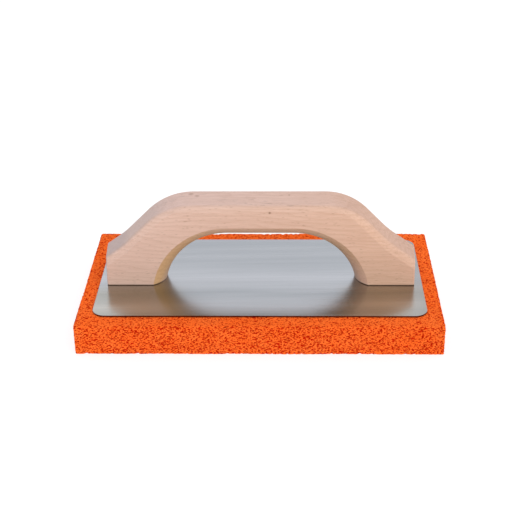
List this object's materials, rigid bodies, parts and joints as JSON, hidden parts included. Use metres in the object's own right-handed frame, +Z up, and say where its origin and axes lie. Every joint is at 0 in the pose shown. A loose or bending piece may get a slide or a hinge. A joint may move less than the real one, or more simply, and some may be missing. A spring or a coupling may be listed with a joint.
{
  "type": "sponge rubber float",
  "caption": "Hand float for wet plaster and grout: a thick sponge rubber pad bonded under a flat steel plate, with an arched wooden grip screwed on top.",
  "frame": {"origin": "centre of the sponge pad's underside, on the surface the float rests on", "axes": "+X along the float and its grip, +Y across it, away from the user's side, +Z up"},
  "size_m": [0.24, 0.14, 0.0805],
  "materials": {
    "beech": "sanded, unvarnished",
    "steel": "rolled sheet",
    "sponge": "open cells",
    "adhesive": "matte",
    "screw_steel": "zinc plated"
  },
  "bodies": {
    "root": {"sponge_pad": "sponge", "adhesive_film": "adhesive", "backing_plate": "steel", "wooden_grip": "beech", "wood_screw_left_front": "screw_steel", "wood_screw_left_rear": "screw_steel", "wood_screw_right_front": "screw_steel", "wood_screw_right_rear": "screw_steel"}
  },
  "joints": []
}
